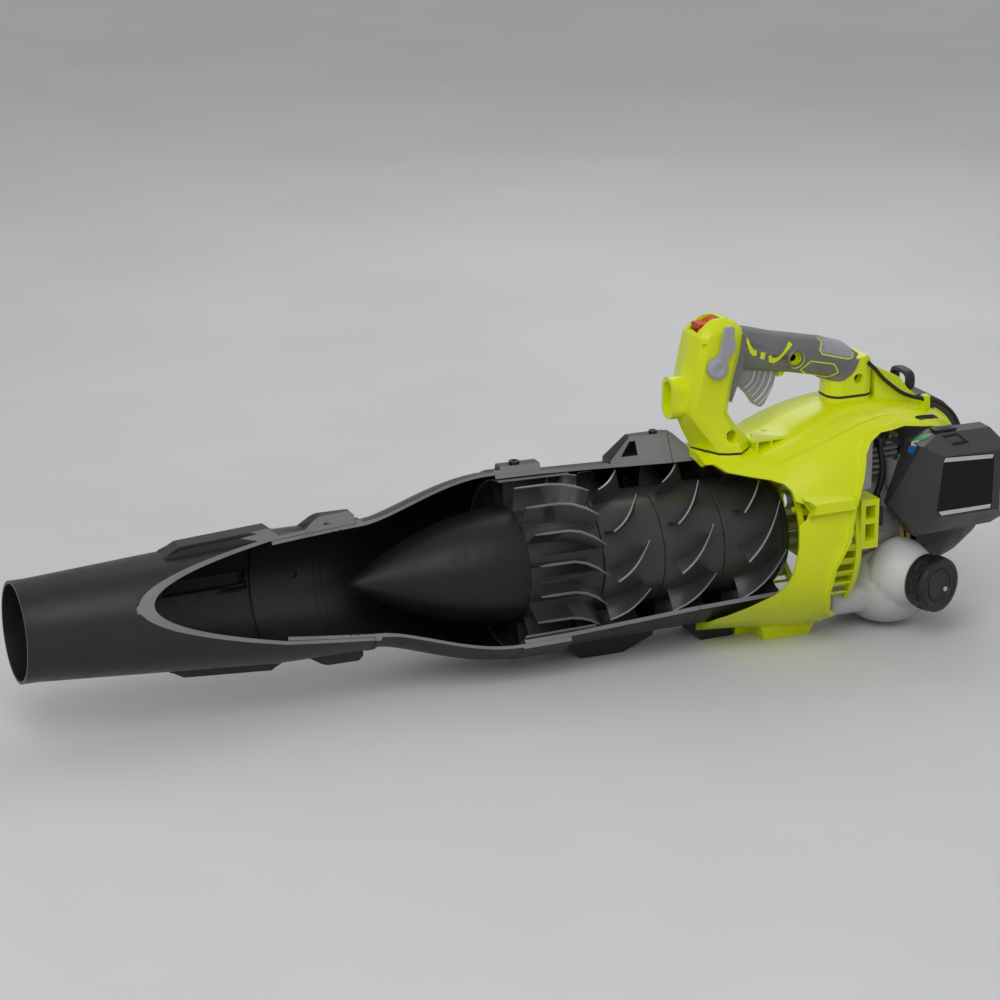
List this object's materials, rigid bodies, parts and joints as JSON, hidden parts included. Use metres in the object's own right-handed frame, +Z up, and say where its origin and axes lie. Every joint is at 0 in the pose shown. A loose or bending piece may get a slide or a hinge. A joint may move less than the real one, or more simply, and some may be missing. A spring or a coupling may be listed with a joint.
{
  "type": "handheld leaf blower",
  "caption": "Handheld petrol leaf blower cut open along its air tubes, showing an axial fan, curved stator vanes and tail cone behind a tapered nozzle.",
  "frame": {"origin": "centre of the nozzle mouth, on the fan axis and in the plane of the mouth", "axes": "+X along the fan axis from the mouth to the engine, +Z up through the handle, -Y the side of the fuel cap and air filter"},
  "size_m": [0.9615, 0.2182, 0.312],
  "materials": {
    "tube_black": "satin black moulded tube",
    "duct_black": "satin black moulded duct",
    "stator_grey": "satin dark grey",
    "fan_grey": "satin dark grey, glass filled",
    "screw_steel": "plain steel",
    "dark_steel": "blackened steel",
    "lime": "lime yellow, fine gloss",
    "grip_rubber": "mid-grey soft grip, matte",
    "seal_rubber": "dark brown rubber",
    "trigger_grey": "ribbed grey",
    "lever_grey": "light grey",
    "switch_red": "bright red",
    "cord_black": "black jacket",
    "cast_alloy": "die cast",
    "plug_ceramic": "white ceramic",
    "coil_black": "potted black",
    "muffler_steel": "heat-dulled sheet",
    "primer_red": "translucent red rubber",
    "cover_grey": "fine-grained dark grey",
    "cover_dark": "black grained",
    "filter_felt": "pleated paper felt",
    "choke_blue": "blue",
    "rope_white": "braided cord",
    "tank_milky": "milky translucent",
    "cap_black": "black knurled",
    "fuel_amber": "amber hose"
  },
  "bodies": {
    "blower": {"diffuser": "tube_black", "fan_duct": "duct_black", "intake_ring": "duct_black", "duct_screws": "screw_steel", "tail_cone": "tube_black", "stator": "stator_grey", "stator_bearing": "screw_steel", "intake_guard": "lime", "housing_left": "lime", "housing_right": "lime", "handle_left": "lime", "handle_right": "lime", "grip_rubber": "grip_rubber", "front_seal": "seal_rubber", "rear_seal": "seal_rubber", "handle_screws": "dark_steel", "trigger_pin": "screw_steel", "throttle_cable": "cord_black", "cable_clip": "lime", "engine_plate": "lime", "crankcase": "cast_alloy", "engine_cylinder": "cast_alloy", "spark_plug": "plug_ceramic", "plug_boot": "cord_black", "plug_lead": "cord_black", "ignition_coil": "coil_black", "muffler": "muffler_steel", "carburettor": "cast_alloy", "filter_base": "cover_dark", "filter_element": "filter_felt", "starter_housing": "cover_dark", "starter_rope": "rope_white", "fuel_tank": "tank_milky", "fuel_lines": "fuel_amber", "engine_cover": "cover_grey", "heat_shield": "muffler_steel", "air_shroud": "cast_alloy"},
    "nozzle_tube": {"nozzle": "tube_black"},
    "rotor": {"fan_stage_1": "fan_grey", "fan_stage_2": "fan_grey", "fan_stage_3": "fan_grey", "fan_spinner": "fan_grey", "drive_shaft": "screw_steel", "fan_nut": "screw_steel"},
    "throttle_trigger": {"trigger": "trigger_grey"},
    "carburettor_arm": {"throttle_arm": "screw_steel"},
    "cruise_control": {"cruise_lever": "lever_grey"},
    "stop_rocker": {"stop_switch": "switch_red"},
    "choke_control": {"choke_lever": "choke_blue"},
    "primer": {"primer_bulb": "primer_red"},
    "filter_lid": {"filter_cover": "cover_grey"},
    "filter_latch": {"cover_latch": "cover_dark"},
    "cap_gasket": {"cap_seal": "seal_rubber"},
    "tank_cap": {"fuel_cap": "cap_black"},
    "pull_grip": {"starter_grip": "cord_black"},
    "pull_pulley": {"starter_pulley": "fan_grey"}
  },
  "joints": [
    {"name": "nozzle_twist", "type": "hinge", "parent": "blower", "child": "nozzle_tube", "pos_m": [0.3, 0, 0], "axis": [1, 0, 0], "range_deg": [-20, 0]},
    {"name": "fan_spin", "type": "hinge", "parent": "blower", "child": "rotor", "pos_m": [0.6, 0, 0], "axis": [1, 0, 0], "continuous": true},
    {"name": "trigger_squeeze", "type": "hinge", "parent": "blower", "child": "throttle_trigger", "pos_m": [0.6935, 0, 0.164], "axis": [0, -1, 0], "range_deg": [0, 14], "stiffness_Nm_per_rad": 0.6, "springref_deg": -20.05},
    {"name": "throttle_turn", "type": "hinge", "parent": "blower", "child": "carburettor_arm", "pos_m": [0.8485, -0.045, 0.068], "axis": [0, 0, 1], "range_deg": [0, 29]},
    {"name": "cruise_turn", "type": "hinge", "parent": "blower", "child": "cruise_control", "pos_m": [0.6605, -0.028, 0.172], "axis": [0, 1, 0], "range_deg": [0, 65]},
    {"name": "stop_rock", "type": "hinge", "parent": "blower", "child": "stop_rocker", "pos_m": [0.6615, 0, 0.207], "axis": [0, 1, 0], "range_deg": [0, 10]},
    {"name": "choke_turn", "type": "hinge", "parent": "blower", "child": "choke_control", "pos_m": [0.85, -0.053, 0.078], "axis": [0, 1, 0], "range_deg": [0, 40]},
    {"name": "primer_press", "type": "slide", "parent": "blower", "child": "primer", "axis": [-1, 0, 0], "range_m": [0, 0.004], "stiffness_N_per_m": 900, "springref_m": -0.001},
    {"name": "filter_lid_open", "type": "hinge", "parent": "blower", "child": "filter_lid", "pos_m": [0.8875, -0.062, 0.001], "axis": [1, 0, 0], "range_deg": [0, 45]},
    {"name": "latch_slide", "type": "slide", "parent": "filter_lid", "child": "filter_latch", "axis": [0, -1, 0], "range_m": [0, 0.0025]},
    {"name": "cap_lift", "type": "slide", "parent": "blower", "child": "cap_gasket", "axis": [0.3256, -0.9455, 0], "range_m": [0, 0.0165]},
    {"name": "cap_turn", "type": "hinge", "parent": "cap_gasket", "child": "tank_cap", "pos_m": [0.855, -0.086, -0.0424], "axis": [0.3256, -0.9455, 0], "range_deg": [0, 1440]},
    {"name": "grip_pull", "type": "slide", "parent": "blower", "child": "pull_grip", "axis": [0, 0, 1], "range_m": [0, 0.3], "stiffness_N_per_m": 25, "springref_m": -0.4},
    {"name": "pulley_turn", "type": "hinge", "parent": "blower", "child": "pull_pulley", "pos_m": [0.8925, 0, 0], "axis": [1, 0, 0], "range_deg": [0, 580]}
  ],
  "couplings": [
    {"joint": "throttle_turn", "follows": "trigger_squeeze", "ratio": 2.05},
    {"joint": "cap_lift", "follows": "cap_turn", "m_per_rad": 0.00063662},
    {"joint": "pulley_turn", "follows": "grip_pull", "rad_per_m": 33.333}
  ]
}
